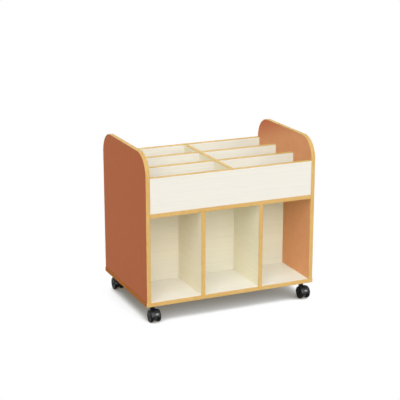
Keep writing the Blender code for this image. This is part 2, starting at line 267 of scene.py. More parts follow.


# Melamine-faced board, maple decor: a warm white with a faint grain of long, slightly wavy lines, about
# 5 mm apart, pressed a little into the face so that the sheen breaks along them. The boards are one decor
# set in copies by how the light falls on them: the strongly lit front panel is an ivory set darker,
# painted shade, while the base, the palest, and the other long boards of the boxes, a little greyer, get
# less light and are set lighter, painted light. The rest is a creamier maple, warmest on the dividers
# that run from front to back.
mapleSettings = {
    # painted shade: the strongly lit front panel is set darker than the other maple boards
    "ivory": ("#E1DED4", "#DFDAD0"),  # ground and grain
    "cream": ("#F1EBD7", "#ECE5CF"),
    "warm": ("#F1EBD2", "#ECE5CA"),
    # painted light: the base is set lighter, where less light reaches it
    "pale": ("#F2F0E7", "#EEEAE0"),
    # painted light: the other long boards of the boxes are set lighter than the front panel, where they
    # get less light
    "soft": ("#E8E5DB", "#E4DFD3"),
    "grainWidth": 5 * mm,
    "grainLength": 240 * mm,
    "poreWidth": 1.6 * mm,
    "poreLength": 60 * mm,
    "poreShare": 0.35,  # strength of the pores beside the grain
    "wave": 120 * mm,
    "waveDepth": 12 * mm,
    "toneRange": (0.52, 0.90),  # noise levels of plain ground and full grain
    "sheenRange": (0.5, 0.9),
    "pressDepth": 0.04 * mm,
    "pressStrength": 0.5,
    "footPaintedShade": "#F6F8FD",  # painted shade over the foot of the spine, which is a little darker than its middle
    "footRange": (110 * mm, 230 * mm),  # heights where the painted shade is full and where it ends
    "roughness": (0.40, 0.50),
    "specular": 0.4,
}


def makeMaple(name, tones, along, shadedFoot, s):  # along is the grain's axis, 0 for X or 1 for Y
    material = newMaterial(name)
    tree = material.node_tree
    ground, line = s[tones]
    place = addNode(tree, "ShaderNodeTexCoord").outputs["Object"]
    wave = addNode(
        tree, "ShaderNodeTexNoise", inputs={"Vector": place, "Scale": 1 / s["wave"], "Detail": 1.0}
    )
    bend = addNode(
        tree, "ShaderNodeVectorMath", {"operation": "MULTIPLY_ADD"},
        {0: wave.outputs["Color"], 1: (s["waveDepth"],) * 3, 2: place},
    )
    grainScale = [1 / s["grainWidth"]] * 3
    grainScale[along] = 1 / s["grainLength"]
    poreScale = [1 / s["poreWidth"]] * 3
    poreScale[along] = 1 / s["poreLength"]
    grainPlace = addNode(
        tree, "ShaderNodeMapping", inputs={"Vector": bend.outputs[0], "Scale": grainScale}
    )
    porePlace = addNode(tree, "ShaderNodeMapping", inputs={"Vector": bend.outputs[0], "Scale": poreScale})
    grain = addNode(
        tree, "ShaderNodeTexNoise", inputs={"Vector": grainPlace.outputs[0], "Scale": 1.0, "Detail": 3.0}
    )
    pore = addNode(
        tree, "ShaderNodeTexNoise", inputs={"Vector": porePlace.outputs[0], "Scale": 1.0, "Detail": 2.0}
    )
    both = addNode(
        tree, "ShaderNodeMath", {"operation": "MULTIPLY_ADD"},
        {0: pore.outputs[0], 1: s["poreShare"], 2: grain.outputs[0]},
    )
    start, end = s["toneRange"]
    tone = addNode(tree, "ShaderNodeMapRange", inputs={0: both.outputs[0], 1: start, 2: end})
    colour = addNode(
        tree, "ShaderNodeMix", {"data_type": "RGBA"},
        {0: tone.outputs[0], 6: hexColour(ground), 7: hexColour(line)},
    )
    # painted shade: the spine darkens towards its foot
    if shadedFoot:
        foot, middle = s["footRange"]
        height = addNode(tree, "ShaderNodeSeparateXYZ", inputs={0: place})
        share = addNode(
            tree, "ShaderNodeMapRange", {"interpolation_type": "SMOOTHSTEP"},
            {0: height.outputs[2], 1: middle, 2: foot},
        )
        colour = addNode(
            tree, "ShaderNodeMix", {"data_type": "RGBA", "blend_type": "MULTIPLY"},
            {0: share.outputs[0], 6: colour.outputs[2], 7: hexColour(s["footPaintedShade"])},
        )
    start, end = s["sheenRange"]
    low, high = s["roughness"]
    rough = addNode(
        tree, "ShaderNodeMapRange", inputs={0: both.outputs[0], 1: start, 2: end, 3: low, 4: high}
    )
    bump = addNode(
        tree, "ShaderNodeBump", {"invert": True},
        {"Height": both.outputs[0], "Strength": s["pressStrength"], "Distance": s["pressDepth"]},
    )
    shader = addNode(tree, "ShaderNodeBsdfPrincipled", inputs={
        "Base Color": colour.outputs[2],
        "Roughness": rough.outputs[0],
        "Normal": bump.outputs[0],
        "Specular IOR Level": s["specular"],
    })
    addNode(tree, "ShaderNodeOutputMaterial", inputs={"Surface": shader.outputs[0]})
    return material


# Edge band of ABS with a beech decor: honey-coloured, with short darker flecks along the band and a soft
# sheen on its rounded edges. The flecks are about 0.5 mm wide, drawn at 2 mm so that they show. The bands
# on top of the boxes are a paler straw copy of the same band, painted light where light falls from above,
# and the two ends of the base carry a darker, redder copy, painted shade.
beechSettings = {
    "honey": ("#D0A866", "#D3AF6F", "#C19752"),  # two ground tones and the flecks
    # painted light: a paler copy for the bands that face up
    "straw": ("#D3B06A", "#D6B773", "#C5A057"),
    # painted shade: a darker, redder copy for the ends of the base
    "brown": ("#A56013", "#A86417", "#98540E"),
    "fleckWidth": 2 * mm,
    "fleckLength": 26 * mm,
    "fleckRange": (0.5, 0.72),  # noise levels of plain ground and full fleck
    "tone": 180 * mm,
    "toneRange": (0.35, 0.65),
    "sheenRange": (0.3, 0.7),
    "roughness": (0.48, 0.60),
    "specular": 0.07,
}


def makeBeech(name, tones, s):
    material = newMaterial(name)
    tree = material.node_tree
    first, second, dark = s[tones]
    along = addNode(tree, "ShaderNodeAttribute", {"attribute_name": "alongBand"})
    across = addNode(tree, "ShaderNodeAttribute", {"attribute_name": "acrossBand"})
    flat = addNode(
        tree, "ShaderNodeCombineXYZ", inputs={0: along.outputs["Fac"], 1: across.outputs["Fac"]}
    )
    fleckPlace = addNode(tree, "ShaderNodeMapping", inputs={
        "Vector": flat.outputs[0], "Scale": (1 / s["fleckLength"], 1 / s["fleckWidth"], 1.0),
    })
    fleck = addNode(
        tree, "ShaderNodeTexNoise", inputs={"Vector": fleckPlace.outputs[0], "Scale": 1.0, "Detail": 3.0}
    )
    place = addNode(tree, "ShaderNodeTexCoord").outputs["Object"]
    tone = addNode(
        tree, "ShaderNodeTexNoise", inputs={"Vector": place, "Scale": 1 / s["tone"], "Detail": 2.0}
    )
    start, end = s["toneRange"]
    toneShare = addNode(tree, "ShaderNodeMapRange", inputs={0: tone.outputs[0], 1: start, 2: end})
    ground = addNode(
        tree, "ShaderNodeMix", {"data_type": "RGBA"},
        {0: toneShare.outputs[0], 6: hexColour(first), 7: hexColour(second)},
    )
    start, end = s["fleckRange"]
    fleckShare = addNode(tree, "ShaderNodeMapRange", inputs={0: fleck.outputs[0], 1: start, 2: end})
    colour = addNode(
        tree, "ShaderNodeMix", {"data_type": "RGBA"},
        {0: fleckShare.outputs[0], 6: ground.outputs[2], 7: hexColour(dark)},
    )
    start, end = s["sheenRange"]
    low, high = s["roughness"]
    rough = addNode(
        tree, "ShaderNodeMapRange", inputs={0: fleck.outputs[0], 1: start, 2: end, 3: low, 4: high}
    )
    shader = addNode(tree, "ShaderNodeBsdfPrincipled", inputs={
        "Base Color": colour.outputs[2],
        "Roughness": rough.outputs[0],
        "Specular IOR Level": s["specular"],
    })
    addNode(tree, "ShaderNodeOutputMaterial", inputs={"Surface": shader.outputs[0]})
    return material


# Nylon, injection moulded in black with a fine spark texture: near black with a broad grey sheen.
# The texture is about 0.3 mm, drawn at 1.2 mm so that it shows.
hoodNylonSettings = {
    "black": "#07080B",
    "dust": "#0D0F13",
    "spark": 1.2 * mm,
    "sparkDepth": 0.04 * mm,
    "sparkStrength": 0.4,
    "cloud": 14 * mm,
    "dustRange": (0.45, 0.7),  # noise levels of bare and dusty nylon
    "sheenRange": (0.3, 0.7),
    "roughness": (0.25, 0.34),
    "specular": 0.34,
}


def makeHoodNylon(s):
    material = newMaterial("mouldedBlackNylon")
    tree = material.node_tree
    place = addNode(tree, "ShaderNodeTexCoord").outputs["Object"]
    cloud = addNode(
        tree, "ShaderNodeTexNoise", inputs={"Vector": place, "Scale": 1 / s["cloud"], "Detail": 5.0}
    )
    start, end = s["dustRange"]
    dust = addNode(tree, "ShaderNodeMapRange", inputs={0: cloud.outputs[0], 1: start, 2: end})
    colour = addNode(
        tree, "ShaderNodeMix", {"data_type": "RGBA"},
        {0: dust.outputs[0], 6: hexColour(s["black"]), 7: hexColour(s["dust"])},
    )
    spark = addNode(
        tree, "ShaderNodeTexNoise", inputs={"Vector": place, "Scale": 1 / s["spark"], "Detail": 2.0}
    )
    start, end = s["sheenRange"]
    low, high = s["roughness"]
    rough = addNode(
        tree, "ShaderNodeMapRange", inputs={0: cloud.outputs[0], 1: start, 2: end, 3: low, 4: high}
    )
    bump = addNode(tree, "ShaderNodeBump", inputs={
        "Height": spark.outputs[0], "Strength": s["sparkStrength"], "Distance": s["sparkDepth"],
    })
    shader = addNode(tree, "ShaderNodeBsdfPrincipled", inputs={
        "Base Color": colour.outputs[2],
        "Roughness": rough.outputs[0],
        "Normal": bump.outputs[0],
        "Specular IOR Level": s["specular"],
    })
    addNode(tree, "ShaderNodeOutputMaterial", inputs={"Surface": shader.outputs[0]})
    return material


# Nylon, moulded in black for the wheels: smooth on the dished face, and scuffed to a dusty grey by the
# floor on the tread.
wheelNylonSettings = {
    "black": "#06070A",
    "scuff": "#121213",
    "scuffSize": 7 * mm,
    "scuffRange": (0.38, 0.62),  # noise levels of whole and scuffed tread
    "scuffDepth": 0.06 * mm,
    "scuffStrength": 0.3,
    "roughness": (0.28, 0.46),
    "specular": 0.1,
}


def makeWheelNylon(s):
    material = newMaterial("scuffedWheelNylon")
    tree = material.node_tree
    place = addNode(tree, "ShaderNodeTexCoord").outputs["Object"]
    tread = addNode(tree, "ShaderNodeAttribute", {"attribute_name": "treadWear"})
    scuff = addNode(
        tree, "ShaderNodeTexNoise", inputs={"Vector": place, "Scale": 1 / s["scuffSize"], "Detail": 6.0}
    )
    start, end = s["scuffRange"]
    share = addNode(tree, "ShaderNodeMapRange", inputs={0: scuff.outputs[0], 1: start, 2: end})
    worn = addNode(
        tree, "ShaderNodeMath", {"operation": "MULTIPLY"}, {0: share.outputs[0], 1: tread.outputs["Fac"]}
    )
    colour = addNode(
        tree, "ShaderNodeMix", {"data_type": "RGBA"},
        {0: worn.outputs[0], 6: hexColour(s["black"]), 7: hexColour(s["scuff"])},
    )
    low, high = s["roughness"]
    rough = addNode(tree, "ShaderNodeMapRange", inputs={0: worn.outputs[0], 3: low, 4: high})
    bump = addNode(tree, "ShaderNodeBump", inputs={
        "Height": scuff.outputs[0], "Strength": s["scuffStrength"], "Distance": s["scuffDepth"],
    })
    shader = addNode(tree, "ShaderNodeBsdfPrincipled", inputs={
        "Base Color": colour.outputs[2],
        "Roughness": rough.outputs[0],
        "Normal": bump.outputs[0],
        "Specular IOR Level": s["specular"],
    })
    addNode(tree, "ShaderNodeOutputMaterial", inputs={"Surface": shader.outputs[0]})
    return material


# Steel, turned and zinc plated: a bright bluish grey whose sheen is patched by the plating.
zincSettings = {
    "bright": "#C4C7CB",
    "dull": "#A6A9AE",
    "patch": 3 * mm,
    "patchRange": (0.35, 0.65),  # noise levels of dull and bright plating
    "roughness": (0.26, 0.42),
}


def makeZinc(s):
    material = newMaterial("zincPlatedSteel")
    tree = material.node_tree
    place = addNode(tree, "ShaderNodeTexCoord").outputs["Object"]
    patch = addNode(
        tree, "ShaderNodeTexNoise", inputs={"Vector": place, "Scale": 1 / s["patch"], "Detail": 3.0}
    )
    start, end = s["patchRange"]
    share = addNode(tree, "ShaderNodeMapRange", inputs={0: patch.outputs[0], 1: start, 2: end})
    colour = addNode(
        tree, "ShaderNodeMix", {"data_type": "RGBA"},
        {0: share.outputs[0], 6: hexColour(s["dull"]), 7: hexColour(s["bright"])},
    )
    low, high = s["roughness"]
    rough = addNode(tree, "ShaderNodeMapRange", inputs={0: share.outputs[0], 3: high, 4: low})
    shader = addNode(tree, "ShaderNodeBsdfPrincipled", inputs={
        "Base Color": colour.outputs[2], "Roughness": rough.outputs[0], "Metallic": 1.0,
    })
    addNode(tree, "ShaderNodeOutputMaterial", inputs={"Surface": shader.outputs[0]})
    return material


terracotta = makeTerracotta("terracottaMelamine", "outside", False, terracottaSettings)
# the lighter copy for the inner faces is painted light
terracottaPaintedLight = makeTerracotta("terracottaMelaminePaintedLight", "inside", True, terracottaSettings)
ivoryPaintedShadeAlongX = makeMaple("ivoryMaplePaintedShadeAlongX", "ivory", 0, False, mapleSettings)
creamAlongX = makeMaple("creamMapleAlongX", "cream", 0, False, mapleSettings)
warmAlongY = makeMaple("warmMapleAlongY", "warm", 1, False, mapleSettings)
# the spine's copy carries painted shade at its foot
spineAlongX = makeMaple("spineMapleAlongX", "cream", 0, True, mapleSettings)
palePaintedLightAlongX = makeMaple("paleMaplePaintedLightAlongX", "pale", 0, False, mapleSettings)
softPaintedLightAlongX = makeMaple("softMaplePaintedLightAlongX", "soft", 0, False, mapleSettings)
beech = makeBeech("beechEdgeBand", "honey", beechSettings)
strawBeechPaintedLight = makeBeech("beechEdgeBandPaintedLight", "straw", beechSettings)
brownBeechPaintedShade = makeBeech("beechEdgeBandPaintedShade", "brown", beechSettings)
hoodNylon = makeHoodNylon(hoodNylonSettings)
wheelNylon = makeWheelNylon(wheelNylonSettings)
zinc = makeZinc(zincSettings)
print("materials made")

# CAD nodes that stay, with their finish
ends, sides = ("front", "rear"), ("left", "right")
corners = [f"{end}_{side}" for end in ends for side in sides]
lowerDividers = [f"{end}_lower_divider_{side}" for end in ends for side in sides]
nodeFinishes = (
    # one maple in toned copies: painted shade on the front panel, painted light on the rear boards and
    # the base
    (ivoryPaintedShadeAlongX, ["box_front_panel"]),
    (softPaintedLightAlongX, ["box_rear_panel", "box_long_divider_1", "box_long_divider_2"]),
    (palePaintedLightAlongX, ["base_panel"]),
    (creamAlongX, ["middle_shelf"]),
    (spineAlongX, ["spine_panel"]),
    (warmAlongY, ["box_cross_divider", *lowerDividers]),
    (zinc, [f"castor_{corner}_{part}" for corner in corners for part in ("insert", "axle")]),
)
for finish, names in nodeFinishes:
    for name in names:
        for slot in nodes[name].material_slots:
            slot.material = finish
print("boards and hidden steel finished")

# Side panels
panelSettings = {
    "cornerRadius": 95 * mm,  # over the edge band
    "bandDepth": 2.3 * mm,  # band and its glue line
    "cornerSteps": 40,
}


def makeSidePanel(side, s):
    node = f"side_panel_{side}"
    low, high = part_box(node)
    radius = s["cornerRadius"] - s["bandDepth"]
    outline = [(low.y, low.z)]
    outline += arc((low.y + radius, high.z - radius), radius, 180, 90, s["cornerSteps"])
    outline += arc((high.y - radius, high.z - radius), radius, 90, 0, s["cornerSteps"])
    outline.append((high.y, low.z))
    mesh = prismMesh(node, outline, low.x, high.x)
    placePiece(pieceName(node), mesh, terracotta, "carcass", "terracotta_board", node)
    # the inner faces take the lighter copy, painted light
    mesh.materials.append(terracottaPaintedLight)
    inwards = -1 if low.x > 0 else 1
    for face in mesh.polygons:
        if round(face.normal.x) == inwards:  # the face towards the middle of the trolley
            face.material_index = 1


for side in sides:
    makeSidePanel(side, panelSettings)
print("side panels made")

# Edge bands: a strip with rounded outer edges that follows a path round the boards
bandSettings = {
    "thickness": 2 * mm,
    "edgeRadius": 0.9 * mm,
    "edgeSteps": 4,
    "cornerRadius": panelSettings["cornerRadius"],
    "cornerSteps": panelSettings["cornerSteps"],
    "joint": 0.05 * mm,  # butt joint at the corners of the base
}


def makeBandTree():
    tree = newTree("edgeBand", {
        "Path": "Geometry",
        "Width": "Float",
        "Thickness": "Float",
        "Edge radius": "Float",
        "Corner radius": "Float",
        "Edge steps": "Int",
        "Corner steps": "Int",
        "Finish": "Material",
    }, "Band")
    given = addNode(tree, "NodeGroupInput").outputs
    rounded = addNode(tree, "GeometryNodeFilletCurve", {"mode": "POLY"}, {
        "Curve": given["Path"],
        "Count": given["Corner steps"],
        "Radius": given["Corner radius"],
        "Limit Radius": True,
    })
    upright = addNode(tree, "GeometryNodeSetCurveNormal", {"mode": "Z_UP"}, {"Curve": rounded.outputs[0]})
    travelled = addNode(tree, "GeometryNodeSplineParameter")
    path = addNode(tree, "GeometryNodeStoreNamedAttribute", {"data_type": "FLOAT", "domain": "POINT"}, {
        "Geometry": upright.outputs[0], "Name": "alongBand", "Value": travelled.outputs["Length"],
    })
    strip = addNode(tree, "GeometryNodeCurvePrimitiveQuadrilateral", {"mode": "RECTANGLE"}, {
        "Width": given["Thickness"], "Height": given["Width"],
    })
    half = addNode(
        tree, "ShaderNodeMath", {"operation": "MULTIPLY"}, {0: given["Thickness"], 1: -0.5}
    )
    inwards = addNode(tree, "ShaderNodeCombineXYZ", inputs={0: half.outputs[0]})
    spot = addNode(tree, "GeometryNodeInputPosition")
    corner = addNode(tree, "ShaderNodeSeparateXYZ", inputs={0: spot.outputs[0]})
    outer = addNode(
        tree, "ShaderNodeMath", {"operation": "GREATER_THAN"}, {0: corner.outputs[0], 1: 0.0}
    )
    radius = addNode(
        tree, "ShaderNodeMath", {"operation": "MULTIPLY"}, {0: outer.outputs[0], 1: given["Edge radius"]}
    )
    softened = addNode(tree, "GeometryNodeFilletCurve", {"mode": "POLY"}, {
        "Curve": strip.outputs[0], "Count": given["Edge steps"], "Radius": radius.outputs[0],
    })
    marked = addNode(tree, "GeometryNodeStoreNamedAttribute", {"data_type": "FLOAT", "domain": "POINT"}, {
        "Geometry": softened.outputs[0], "Name": "acrossBand", "Value": corner.outputs[1],
    })
    profile = addNode(tree, "GeometryNodeTransform", inputs={
        "Geometry": marked.outputs[0], "Translation": inwards.outputs[0],
    })
    band = addNode(tree, "GeometryNodeCurveToMesh", inputs={
        "Curve": path.outputs[0], "Profile Curve": profile.outputs[0], "Fill Caps": True,
    })
    whole = addNode(tree, "GeometryNodeRealizeInstances", inputs={"Geometry": band.outputs[0]})
    finished = addNode(tree, "GeometryNodeSetMaterial", inputs={
        "Geometry": whole.outputs[0], "Material": given["Finish"],
    })
    addNode(tree, "NodeGroupOutput", inputs={"Band": finished.outputs[0]})
    return tree


def makeBand(node, paths, along, outward, width, finish, tree, s):
    turn = Matrix((along, -outward, along.cross(-outward))).transposed()
    flatPaths = [[(turn.inverted() @ Vector(place), 1.0) for place in path] for path in paths]
    mesh = treeMesh(node + "_path", tree, flatPaths, {
        "Width": width,
        "Thickness": s["thickness"],
        "Edge radius": s["edgeRadius"],
        "Edge steps": s["edgeSteps"],
        "Corner radius": s["cornerRadius"],
        "Corner steps": s["cornerSteps"],
        "Finish": finish,
    })
    mesh.transform(turn.to_4x4())
    closeMesh(mesh)
    return placePiece(pieceName(node), mesh, finish, "carcass", "beech_band", node)


def straightPath(node, outward):  # along the longest side of the node, on its outer face
    low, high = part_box(node)
    size = high - low
    longest = max(range(3), key=lambda axis: size[axis])
    start = (low + high) / 2 + Vector([size[axis] / 2 * outward[axis] for axis in range(3)])
    end = start.copy()
    start[longest] = low[longest]
    end[longest] = high[longest]
    width = sum(size) - size[longest] - abs(size.dot(outward))
    return start, end, width


front, rear, upwards = Vector((0, -1, 0)), Vector((0, 1, 0)), Vector((0, 0, 1))
straightBands = {
    "shelf_front_band": front,
    "shelf_rear_band": rear,
    "box_front_top_band": upwards,
    "box_rear_top_band": upwards,
    "long_divider_1_band_left": upwards,
    "long_divider_1_band_right": upwards,
    "long_divider_2_band_left": upwards,
    "long_divider_2_band_right": upwards,
    "cross_divider_band": upwards,
    "front_lower_divider_band_left": front,
    "front_lower_divider_band_right": front,
    "rear_lower_divider_band_left": rear,
    "rear_lower_divider_band_right": rear,
}
bandTree = makeBandTree()
for node, outward in straightBands.items():
    start, end, width = straightPath(node, outward)
    along = (end - start).normalized()
    # painted light: the bands that face up take the paler copy
    finish = strawBeechPaintedLight if outward == upwards else beech
    makeBand(node, [(start, end)], along, outward, width, finish, bandTree, bandSettings)

for side in sides:  # from the rear foot over the rounded top to the front foot
    node = f"side_edge_band_{side}"
    low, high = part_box(node)
    middle = (low.x + high.x) / 2
    path = [(middle, y, z) for y, z in (
        (high.y, low.z), (high.y, high.z), (low.y, high.z), (low.y, low.z),
    )]
    makeBand(node, [path], upwards, rear, high.x - low.x, beech, bandTree, bandSettings)

low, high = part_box("base_edge_band")  # front and rear strips cover the ends of the other two
level = (low.z + high.z) / 2
inset = bandSettings["thickness"] + bandSettings["joint"]
basePaths = [
    [(low.x, low.y, level), (high.x, low.y, level)],
    [(high.x, low.y + inset, level), (high.x, high.y - inset, level)],
    [(high.x, high.y, level), (low.x, high.y, level)],
    [(low.x, high.y - inset, level), (low.x, low.y + inset, level)],
]
baseBand = makeBand(
    "base_edge_band", basePaths, Vector((1, 0, 0)), front, high.z - low.z, beech, bandTree, bandSettings
)
# painted shade: the two ends of the base take the darker copy
baseBand.data.materials.append(brownBeechPaintedShade)
for face in baseBand.data.polygons:
    if abs(face.center.x) > high.x - inset and low.y + inset < face.center.y < high.y - inset:
        face.material_index = 1
print("edge bands made")

# Castor wheels: turned round the axle, dished on the outer face
wheelSettings = {
    "radius": 25 * mm,
    "width": 15 * mm,
    "treadRound": 5 * mm,
    "innerTreadSteps": 6,
    "outerTreadSteps": 8,
    "rimWidth": 1.6 * mm,
    "rimRound": 0.5 * mm,
    "rimSteps": 3,
    "dishDepth": 1.8 * mm,
    "dishRound": 1.2 * mm,
    "hubRadius": 7.5 * mm,
    "hubRound": 1.0 * mm,
    "hubDimple": 0.8 * mm,
    "dimpleShares": (0.45, 0.35),  # rim and floor of the dimple, as shares of the hub's radius
    "roundSteps": 4,
    "boreRadius": 4.3 * mm,
    "boreDepth": 11.5 * mm,
    "sides": 72,
}


def makeWheelMesh(s):  # round Z, inner face at 0, outer face upwards
    edge = s["radius"] - s["treadRound"]
    dishEdge = edge - s["rimWidth"]
    width, deep = s["width"], s["width"] - s["dishDepth"]
    soft, cap = s["dishRound"], s["hubRound"]
    profile = [(0, s["boreDepth"]), (s["boreRadius"], s["boreDepth"]), (s["boreRadius"], 0)]
    profile += arc((edge, s["treadRound"]), s["treadRound"], -90, 0, s["innerTreadSteps"])
    profile += arc((edge, width - s["treadRound"]), s["treadRound"], 0, 90, s["outerTreadSteps"])
    profile += arc((dishEdge, width - s["rimRound"]), s["rimRound"], 90, 160, s["rimSteps"])
    profile += arc((dishEdge - soft, deep + soft), soft, 0, -90, s["roundSteps"])
    profile += arc((s["hubRadius"] + soft, deep + soft), soft, -90, -170, s["roundSteps"])
    profile += arc((s["hubRadius"] - cap, width - cap), cap, 0, 90, s["roundSteps"])
    dimpleRim, dimpleFloor = [s["hubRadius"] * share for share in s["dimpleShares"]]
    profile += [(dimpleRim, width), (dimpleFloor, width - s["hubDimple"]), (0, width - s["hubDimple"])]
    mesh = turnedMesh("castorWheel", profile, s["sides"])
    wear = mesh.attributes.new("treadWear", "FLOAT", "POINT")
    for i, vertex in enumerate(mesh.vertices):
        reach = math.hypot(vertex.co.x, vertex.co.y)
        wear.data[i].value = min(1.0, max(0.0, (reach - edge) / s["treadRound"]))
    return closeMesh(mesh)


wheelMesh = makeWheelMesh(wheelSettings)
for castor in corners:
    for side, facing in zip(sides, (-1, 1)):
        node = f"castor_{castor}_wheel_{side}"
        low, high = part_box(node)
        middle = (low + high) / 2
        innerFace = low.x if facing > 0 else high.x
        mesh = wheelMesh.copy()
        turn = Matrix.Rotation(facing * math.pi / 2, 4, "Y")
        mesh.transform(Matrix.Translation((innerFace, middle.y, middle.z)) @ turn)
        placePiece(pieceName(node), mesh, wheelNylon, f"{castor}_wheel_{side}", "black_wheel", node)
print("wheels made")

# Castor hoods: a crowned cover over both wheels, the web between them and the housing of the stem
hoodSettings = {
    "innerRadius": 26.5 * mm,
    "crown": 4 * mm,
    "wall": 2.5 * mm,
    "width": 42 * mm,
    "lipFront": 10,  # ends of the cover, in degrees round the axle from the trailing side over the top
    "lipRear": 188,
    "sweepSteps": 60,
    "sectionSteps": 20,
    "edgeRadius": 0.8 * mm,
    "edgeSegments": 3,
    "edgeAngle": 40,  # degrees from which an edge of the cover is rounded
    "axleHeight": 25 * mm,
    "trail": 21.5 * mm,
    "webHalf": 7.3 * mm,
    "webInset": 2,  # sweep steps by which the web stays behind the lips
    "hubRadius": 19 * mm,
    "hubSteps": 24,
    "bossTop": 70.2 * mm,
    "bossFoot": 40.2 * mm,
    "bossRadius": 9.5 * mm,
    "bossFlare": 3 * mm,
    "flareSteps": 8,
    "bossEdgeSteps": 4,
    "socketFloor": 1.6 * mm,
    "pinHoleRadius": 4.35 * mm,
    "axleHoleRadius": 4.35 * mm,
    "cutReach": 100 * mm,  # ends of the cutters, well outside the hood
    "sides": 64,
    "socketSides": 48,
    "holeSides": 32,
    "sharpAngle": 30,
}


def looseObject(mesh):  # carries a mesh through the Boolean steps
    made = bpy.data.objects.new(mesh.name, mesh)
    scene.collection.objects.link(made)
    return made


def looseRod(name, radius, low, high, sides, place=Matrix()):  # a plain round cutter or core
    mesh = turnedMesh(name, [(0, low), (radius, low), (radius, high), (0, high)], sides)
    mesh.transform(place)
    return looseObject(closeMesh(mesh))


def makeHoodMesh(s):  # swivel axis on Z, trailing towards -Y
    def aboutAxle(radius, angle):
        turn = math.radians(angle)
        return (-s["trail"] - radius * math.cos(turn), s["axleHeight"] + radius * math.sin(turn))

    steps = s["sectionSteps"]
    places = [2 * i / steps - 1 for i in range(steps + 1)]
    under = [(s["width"] / 2 * p, s["innerRadius"] + s["crown"] * (1 - p * p)) for p in places]
    section = under + [(x, radius + s["wall"]) for x, radius in reversed(under)]
    swing = s["lipRear"] - s["lipFront"]
    angles = [s["lipFront"] + swing * i / s["sweepSteps"] for i in range(s["sweepSteps"] + 1)]
    shape = bmesh.new()
    rows = [[shape.verts.new((x, *aboutAxle(r, angle))) for x, r in section] for angle in angles]
    for before, after in zip(rows, rows[1:]):
        for k in range(len(section)):
            shape.faces.new((before[k - 1], before[k], after[k], after[k - 1]))
    shape.faces.new(rows[0])
    shape.faces.new(rows[-1])
    cover = looseObject(closeMesh(meshFrom(shape, "hoodCover")))
    bevel = cover.modifiers.new("softEdges", "BEVEL")
    bevel.width = s["edgeRadius"]
    bevel.segments = s["edgeSegments"]
    bevel.limit_method = "ANGLE"
    bevel.angle_limit = math.radians(s["edgeAngle"])

    inset = s["webInset"]
    webReach = s["innerRadius"] + s["crown"] + s["wall"] / 2
    rim = [aboutAxle(webReach, angle) for angle in angles[inset:-inset]]
    start, end = angles[-1 - inset], angles[inset] + 360
    turns = [start + (end - start) * i / s["hubSteps"] for i in range(s["hubSteps"] + 1)]
    hub = [aboutAxle(s["hubRadius"], angle) for angle in turns]
    web = looseObject(prismMesh("hoodWeb", rim + hub, -s["webHalf"], s["webHalf"]))

    top, foot, radius = s["bossTop"], s["bossFoot"], s["bossRadius"]
    soft, reach = s["edgeRadius"], s["cutReach"]
    profile = [(0, foot)]
    for i in range(s["flareSteps"] + 1):  # flare that widens towards the foot
        share = i / s["flareSteps"]
        profile.append((radius + s["bossFlare"] * (1 - share) ** 2, foot + (top - soft - foot) * share))
    profile += arc((radius - soft, top - soft), soft, 0, 90, s["bossEdgeSteps"])[1:]
    profile.append((0, top))
    boss = looseObject(closeMesh(turnedMesh("hoodBoss", profile, s["sides"])))
    onAxle = Matrix.Translation((0, -s["trail"], s["axleHeight"])) @ Matrix.Rotation(math.pi / 2, 4, "Y")
    roomRadius = s["innerRadius"] + s["crown"] + s["wall"] / 4
    room = looseRod("wheelRoom", roomRadius, -reach, reach, s["sides"], onAxle)
    bore = looseRod("axleBore", s["axleHoleRadius"], -reach, reach, s["holeSides"], onAxle)
    socket = looseRod("hoodSocket", s["webHalf"], foot - s["socketFloor"], top - soft, s["socketSides"])
    pin = looseRod("pinHole", s["pinHoleRadius"], foot, reach, s["holeSides"])

    for target, other, operation in (
        (boss, room, "DIFFERENCE"),
        (cover, web, "UNION"),
        (cover, boss, "UNION"),
        (cover, socket, "UNION"),
        (cover, pin, "DIFFERENCE"),
        (cover, bore, "DIFFERENCE"),
    ):
        change = target.modifiers.new(other.name, "BOOLEAN")
        change.operation = operation
        change.solver = "EXACT"
        change.object = other
    mesh = evaluatedMesh(cover)
    for helper in (web, boss, room, bore, socket, pin):
        bpy.data.objects.remove(helper)
    return closeMesh(mesh, s["sharpAngle"])


hoodMesh = makeHoodMesh(hoodSettings)
for castor in corners:
    node = f"castor_{castor}_hood"
    stemLow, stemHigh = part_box(f"castor_{castor}_stem")
    axis = (stemLow + stemHigh) / 2
    mesh = hoodMesh.copy()
    mesh.transform(Matrix.Translation((axis.x, axis.y, 0)))
    placePiece(pieceName(node), mesh, hoodNylon, f"castor_{castor}", "black_nylon", node)
print("hoods made:", len(hoodMesh.polygons), "faces each")

# Castor stems: a turned pin with a flange under the base and a thread above it
stemSettings = {
    "pinRadius": 4 * mm,
    "flangeRadius": 9 * mm,
    "flangeHeight": 1.2 * mm,
    "pinLength": 30 * mm,
    "chamfer": 0.4 * mm,
    "threadRadius": 5 * mm,
    "threadDepth": 0.7 * mm,
    "pitch": 1.5 * mm,
    "ridgeShares": (0.2, 0.6, 0.7),  # foot of a ridge and both ends of its crest, as shares of the pitch
    "sides": 48,
}


